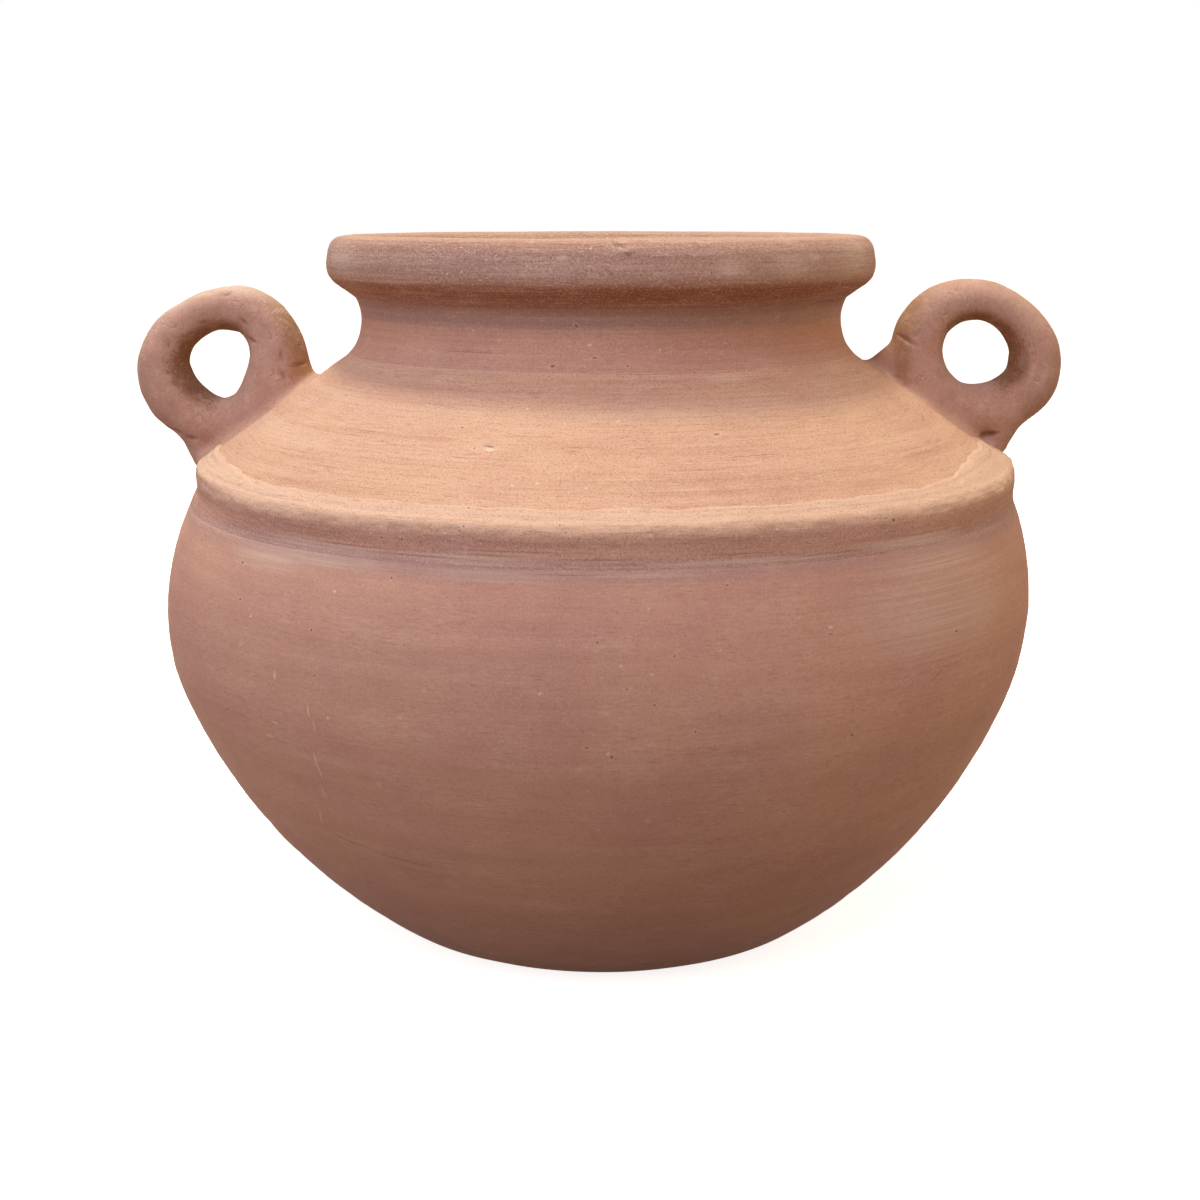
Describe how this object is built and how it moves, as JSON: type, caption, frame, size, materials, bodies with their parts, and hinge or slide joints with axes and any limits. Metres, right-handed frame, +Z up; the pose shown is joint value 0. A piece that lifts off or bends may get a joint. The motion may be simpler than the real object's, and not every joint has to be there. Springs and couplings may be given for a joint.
{
  "type": "terracotta urn",
  "caption": "Wide-bellied unglazed terracotta urn planter with a sloping shoulder, a raised ridge, a waisted neck, a rolled rim and ring handles on the shoulder.",
  "frame": {"origin": "centre of the foot on the floor, on the axis of the pot", "axes": "+X towards the right-hand handle in the picture, -Y towards the viewer, +Z up along the axis of the pot"},
  "size_m": [0.4816, 0.4498, 0.3571],
  "materials": {
    "thrown_clay": "matte",
    "rim_clay": "matte",
    "handle_clay": "matte"
  },
  "bodies": {
    "root": {"base_slab": "thrown_clay", "lower_bowl": "thrown_clay", "belly_wall": "thrown_clay", "shoulder_cone": "thrown_clay", "shoulder_ridge": "thrown_clay", "neck_collar": "thrown_clay", "rim_roll": "rim_clay", "left_handle_loop": "handle_clay", "left_handle_inner_wad": "handle_clay", "left_handle_outer_wad": "handle_clay", "right_handle_loop": "handle_clay", "right_handle_inner_wad": "handle_clay", "right_handle_outer_wad": "handle_clay"}
  },
  "joints": []
}
